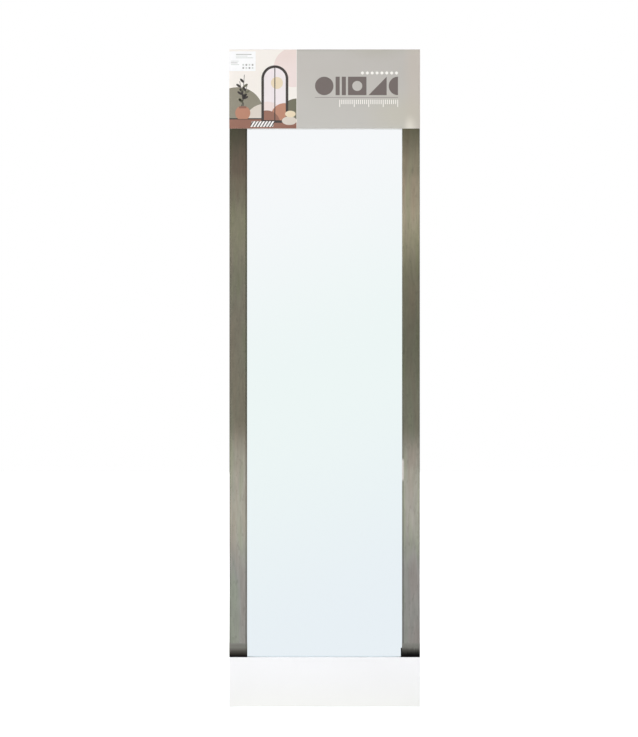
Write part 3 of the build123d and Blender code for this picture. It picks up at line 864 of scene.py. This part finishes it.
for step in range(ticks["count"]):  # a pale scale of ticks under the rule
    tall = ticks["short"] if step % ticks["longEach"] else ticks["long"]
    x = ticks["x"] + step * ticks["pitch"]
    block(sheet, x, ticks["top"] - tall, x + ticks["wide"], ticks["top"], 1, 2)
layPrint("headerOrnament", sheet, [darkInk, ruleInk, paleInk, greyPrint])
print("ornament printed")

# Picture side: an arched window, a pot of leaves, hills and a striped mat, in paper-cut shapes

picture = {
    # colour and its darker drift
    "inks": {
        "umber": ("#332B27", "#2B2421"), "sage": ("#918C7D", "#857F6C"), "clay": ("#BC8870", "#AC765C"),
        "russet": ("#936857", "#845847"), "blush": ("#EFE0DC", "#E8D6CE"), "straw": ("#EBDCC0", "#E0CBA6"),
        "olive": ("#6F6D5A", "#605F4B"), "white": ("#FBF8F5", "#F5F0EA"), "shade": ("#DDD4C9", "#D3C8BA"),
        "sky": ("#F1E9EA", "#ECE2E3"),
    },
    # mm from the card's lower left corner
    "wide": 129.8, "high": 152.2,
    "ground": 20, "groundLine": 2.4,
    "arch": {"middle": 88, "half": 26, "spring": 96, "sill": 11, "line": 5, "bar": 0.9, "barShort": 0.2},
    # discs: middle, radius, layer, ink, sides
    "hills": [(124, 118, 38, 1, "blush", 72), (16, 30, 50, 1, "sage", 96), (70, 6, 42, 2, "shade", 72),
              (132, 18, 40, 3, "olive", 72)],
    "outside": [(92, 88, 11.5, 8, "straw", 56), (74, 22, 30, 8, "blush", 72),
                (107, 22, 27, 9, "clay", 72), (72, 8, 27, 10, "russet", 72)],
    "pot": (26, 30, 14.5, 8, "clay"), "potFoot": 18.5, "potTop": 41,
    "neck": (19, 39, 33, 43),
    # middle, radius, layer, ink, width as a share of the height
    "pebbles": [(116, 15, 8.2, 12, "shade", 1.75), (118, 28, 6.4, 13, "straw", 1.6)],
    # the plant: each stem's foot, height of its tip and lean in degrees, and the leaves along it
    "stems": [(24, 92, 9), (27, 104, -4), (29, 84, -15)],
    "stemFoot": 42, "stemWide": 1.0,
    "leaf": {"each": 5, "radius": 5.4, "out": 3.6, "above": 12, "bare": 14, "thin": 0.42, "turn": 48},
    "mat": {"left": 40, "right": 84, "foot": 3, "top": 14, "spare": 12, "slope": 0.35, "stripes": 9,
            "first": 36, "pitch": 6, "wide": 2, "turn": -32, "reach": (-4, 22)},
}
inks = [inkMaterial(name + "Ink", *tones) for name, tones in picture["inks"].items()]
ink = {name: i for i, name in enumerate(picture["inks"])}

sheet = newSheet(headerLo.x, headerLo.z)
wide, high, ground = picture["wide"], picture["high"], picture["ground"]
edge = [((0, 0), (-1, 0)), ((wide, 0), (1, 0)), ((0, 0), (0, -1)), ((0, high), (0, 1))]
for x, z, radius, layer, tone, sides in picture["hills"]:
    disc(sheet, x, z, radius, layer, ink[tone], edge, sides)
block(sheet, 0, 0, wide, ground, 4, ink["russet"], edge)
block(sheet, 0, ground - picture["groundLine"], wide, ground, 5, ink["umber"], edge)
# the tall dark arch of the window, and what is seen through it
arch = picture["arch"]
middle, spring = arch["middle"], arch["spring"]
for step, tone in ((0, "umber"), (1, "sky")):
    half, sill = arch["half"] - arch["line"] * step, arch["sill"] + arch["line"] * step
    disc(sheet, middle, spring, half, 6 + step, ink[tone], [((0, spring), (0, -1))], 72)
    block(sheet, middle - half, sill, middle + half, spring, 6 + step, ink[tone])
pane, sill = arch["half"] - arch["line"], arch["sill"] + arch["line"]
inside = [((middle - pane, 0), (-1, 0)), ((middle + pane, 0), (1, 0)), ((0, sill), (0, -1))]
for x, z, radius, layer, tone, sides in picture["outside"]:
    disc(sheet, x, z, radius, layer, ink[tone], inside, sides)
barTop = spring + pane - arch["barShort"]
block(sheet, middle - arch["bar"], sill, middle + arch["bar"], barTop, 11, ink["umber"])
# a round pot with leaves
x, z, radius, layer, tone = picture["pot"]
disc(sheet, x, z, radius, layer, ink[tone],
     [((0, picture["potTop"]), (0, 1)), ((0, picture["potFoot"]), (0, -1))], 56)
block(sheet, *picture["neck"], 9, ink["russet"])
stemFoot, stemHalf, leaf = picture["stemFoot"], picture["stemWide"] / 2, picture["leaf"]
for base, tip, lean in picture["stems"]:
    block(sheet, base - stemHalf, stemFoot, base + stemHalf, tip, 6, ink["umber"], turn=lean)
    for step in range(leaf["each"]):
        height = stemFoot + leaf["above"] + step * (tip - stemFoot - leaf["bare"]) / leaf["each"]
        sway = -math.tan(math.radians(lean)) * (height - (stemFoot + tip) / 2)
        side = 1 if step % 2 else -1
        tone = ink["umber" if step % 3 else "olive"]
        disc(sheet, base + sway + side * leaf["out"], height, leaf["radius"], 7, tone, (), 20,
             leaf["thin"], lean - side * leaf["turn"])
# a striped mat and two pale pebbles in front
mat = picture["mat"]
left, right, foot, top, slope = (mat[key] for key in ("left", "right", "foot", "top", "slope"))
trim = [((left, foot), (-1, slope)), ((right, foot), (1, -slope)), ((0, foot), (0, -1)),
        ((0, top), (0, 1))]
block(sheet, left - mat["spare"], foot, right + mat["spare"], top, 8, ink["white"], trim)
for step in range(mat["stripes"]):
    x, (low, high) = mat["first"] + step * mat["pitch"], mat["reach"]
    block(sheet, x, low, x + mat["wide"], high, 9, ink["umber"], trim, turn=mat["turn"])
for x, z, radius, layer, tone, squash in picture["pebbles"]:
    disc(sheet, x, z, radius, layer, ink[tone], edge, 40, squash)
layPrint("headerPicture", sheet, inks)
print("picture printed")

# Sticker: small white label with plain grey rules and dots

sticker = {
    "layer": 2,
    "corner": 0.0015,       # m
    "ruleHigh": 1.3,        # mm
    "rules": [  # mm from the lower left corner, length, tone
        (13, 31.5, 30, 1), (13, 28.2, 22, 2), (13, 24.9, 33, 2), (3, 18.5, 15, 2), (3, 15.2, 13, 1),
        (3, 11.9, 16, 2),
    ],
    "dots": {"rows": 2, "each": 4, "x": 27, "z": 12, "pitch": 6, "radius": 1.9},
}
labelPaper = inkMaterial("labelPaperWhite", "#FDFDFD", "#FAFAFA", 0.32)
labelGrey = inkMaterial("labelGreyInk", "#A9A7A4")
labelSoft = inkMaterial("labelSoftInk", "#D3D6D2")
stickerLo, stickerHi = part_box("header_sticker")
sheet = newSheet(stickerLo.x, stickerLo.z)
block(sheet, 0, 0, (stickerHi.x - stickerLo.x) / mm, (stickerHi.z - stickerLo.z) / mm, sticker["layer"], 0)
bmesh.ops.bevel(sheet["bm"], geom=sheet["bm"].verts[:], offset=sticker["corner"], affect="VERTICES",
                segments=5, profile=0.5, material=-1)
for x, z, long, tone in sticker["rules"]:
    block(sheet, x, z, x + long, z + sticker["ruleHigh"], sticker["layer"] + 1, tone)
dots = sticker["dots"]
for row in range(dots["rows"]):
    for step in range(dots["each"]):
        disc(sheet, dots["x"] + step * dots["pitch"], dots["z"] - row * dots["pitch"], dots["radius"],
             sticker["layer"] + 1, 1 if (row + step) % 2 else 2, (), 20)
layPrint("stickerLabel", sheet, [labelPaper, labelGrey, labelSoft], ("header_sticker",))
print("sticker laid")

scene.view_settings.view_transform = "Standard"
